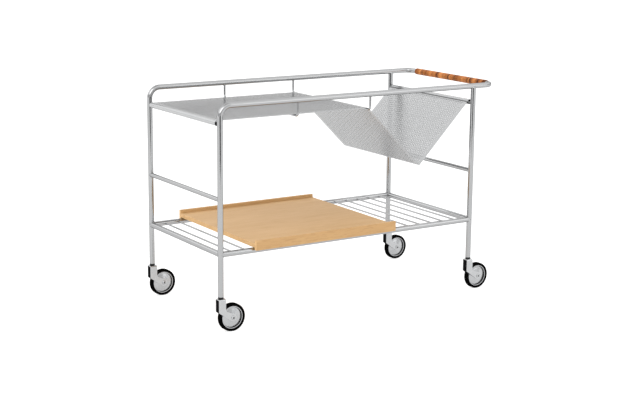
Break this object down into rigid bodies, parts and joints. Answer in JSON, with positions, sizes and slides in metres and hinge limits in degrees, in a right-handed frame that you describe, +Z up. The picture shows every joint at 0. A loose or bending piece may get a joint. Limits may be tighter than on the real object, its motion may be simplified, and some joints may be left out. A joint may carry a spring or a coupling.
{
  "type": "storage trolley",
  "caption": "Low storage trolley: chromed tube frame on swivel casters, perforated sheet shelf that dips into a V pocket, wire shelf with a sliding wooden board, cane-bound push handle.",
  "frame": {"origin": "on the floor, under the middle of the trolley's box, with the casters trailing towards the handle", "axes": "+X along the trolley towards the push handle, +Y towards its back, +Z up"},
  "size_m": [0.906, 0.4364, 0.6031],
  "materials": {
    "chrome": "polished",
    "sheet": "satin",
    "cane": "satin",
    "wood": "matte",
    "caster_metal": "satin",
    "steel": "satin",
    "wheel_grey": "satin",
    "tyre": "matte",
    "black_plastic": "matte"
  },
  "bodies": {
    "frame": {"side_tube_front": "chrome", "side_tube_back": "chrome", "right_leg_front": "chrome", "right_leg_back": "chrome", "left_shelf_bar": "chrome", "left_middle_bar": "chrome", "left_low_bar": "chrome", "right_shelf_bar": "chrome", "right_middle_bar": "chrome", "right_low_bar": "chrome", "low_rail_front": "chrome", "low_rail_back": "chrome", "shelf_wires": "chrome", "hanger_wire_left": "chrome", "hanger_wire_right": "chrome", "sheet_shelf": "sheet", "cane_winding": "cane", "front_left_collar": "black_plastic", "back_left_collar": "black_plastic", "front_right_collar": "black_plastic", "back_right_collar": "black_plastic"},
    "board": {"board_panel": "wood", "board_batten_front": "wood", "board_batten_back": "wood"},
    "front_left_swivel": {"front_left_fork": "caster_metal", "front_left_stem": "steel", "front_left_axle_bolt": "steel", "front_left_axle_nut": "steel", "front_left_axle_sleeve": "steel"},
    "front_left_roller": {"front_left_wheel": "wheel_grey", "front_left_tyre": "tyre"},
    "back_left_swivel": {"back_left_fork": "caster_metal", "back_left_stem": "steel", "back_left_axle_bolt": "steel", "back_left_axle_nut": "steel", "back_left_axle_sleeve": "steel"},
    "back_left_roller": {"back_left_wheel": "wheel_grey", "back_left_tyre": "tyre"},
    "front_right_swivel": {"front_right_fork": "caster_metal", "front_right_stem": "steel", "front_right_axle_bolt": "steel", "front_right_axle_nut": "steel", "front_right_axle_sleeve": "steel"},
    "front_right_roller": {"front_right_wheel": "wheel_grey", "front_right_tyre": "tyre"},
    "back_right_swivel": {"back_right_fork": "caster_metal", "back_right_stem": "steel", "back_right_axle_bolt": "steel", "back_right_axle_nut": "steel", "back_right_axle_sleeve": "steel"},
    "back_right_roller": {"back_right_wheel": "wheel_grey", "back_right_tyre": "tyre"}
  },
  "joints": [
    {"name": "board_slide", "type": "slide", "parent": "frame", "child": "board", "axis": [1, 0, 0], "range_m": [-0.088, 0.266]},
    {"name": "front_left_swivel_turn", "type": "hinge", "parent": "frame", "child": "front_left_swivel", "pos_m": [-0.44305, -0.2, 0.0907], "axis": [0, 0, 1], "continuous": true},
    {"name": "front_left_wheel_turn", "type": "hinge", "parent": "front_left_swivel", "child": "front_left_roller", "pos_m": [-0.41205, -0.2, 0.0375], "axis": [0, 1, 0], "continuous": true},
    {"name": "back_left_swivel_turn", "type": "hinge", "parent": "frame", "child": "back_left_swivel", "pos_m": [-0.44305, 0.2, 0.0907], "axis": [0, 0, 1], "continuous": true},
    {"name": "back_left_wheel_turn", "type": "hinge", "parent": "back_left_swivel", "child": "back_left_roller", "pos_m": [-0.41205, 0.2, 0.0375], "axis": [0, 1, 0], "continuous": true},
    {"name": "front_right_swivel_turn", "type": "hinge", "parent": "frame", "child": "front_right_swivel", "pos_m": [0.37295, -0.2, 0.0907], "axis": [0, 0, 1], "continuous": true},
    {"name": "front_right_wheel_turn", "type": "hinge", "parent": "front_right_swivel", "child": "front_right_roller", "pos_m": [0.40395, -0.2, 0.0375], "axis": [0, 1, 0], "continuous": true},
    {"name": "back_right_swivel_turn", "type": "hinge", "parent": "frame", "child": "back_right_swivel", "pos_m": [0.37295, 0.2, 0.0907], "axis": [0, 0, 1], "continuous": true},
    {"name": "back_right_wheel_turn", "type": "hinge", "parent": "back_right_swivel", "child": "back_right_roller", "pos_m": [0.40395, 0.2, 0.0375], "axis": [0, 1, 0], "continuous": true}
  ]
}
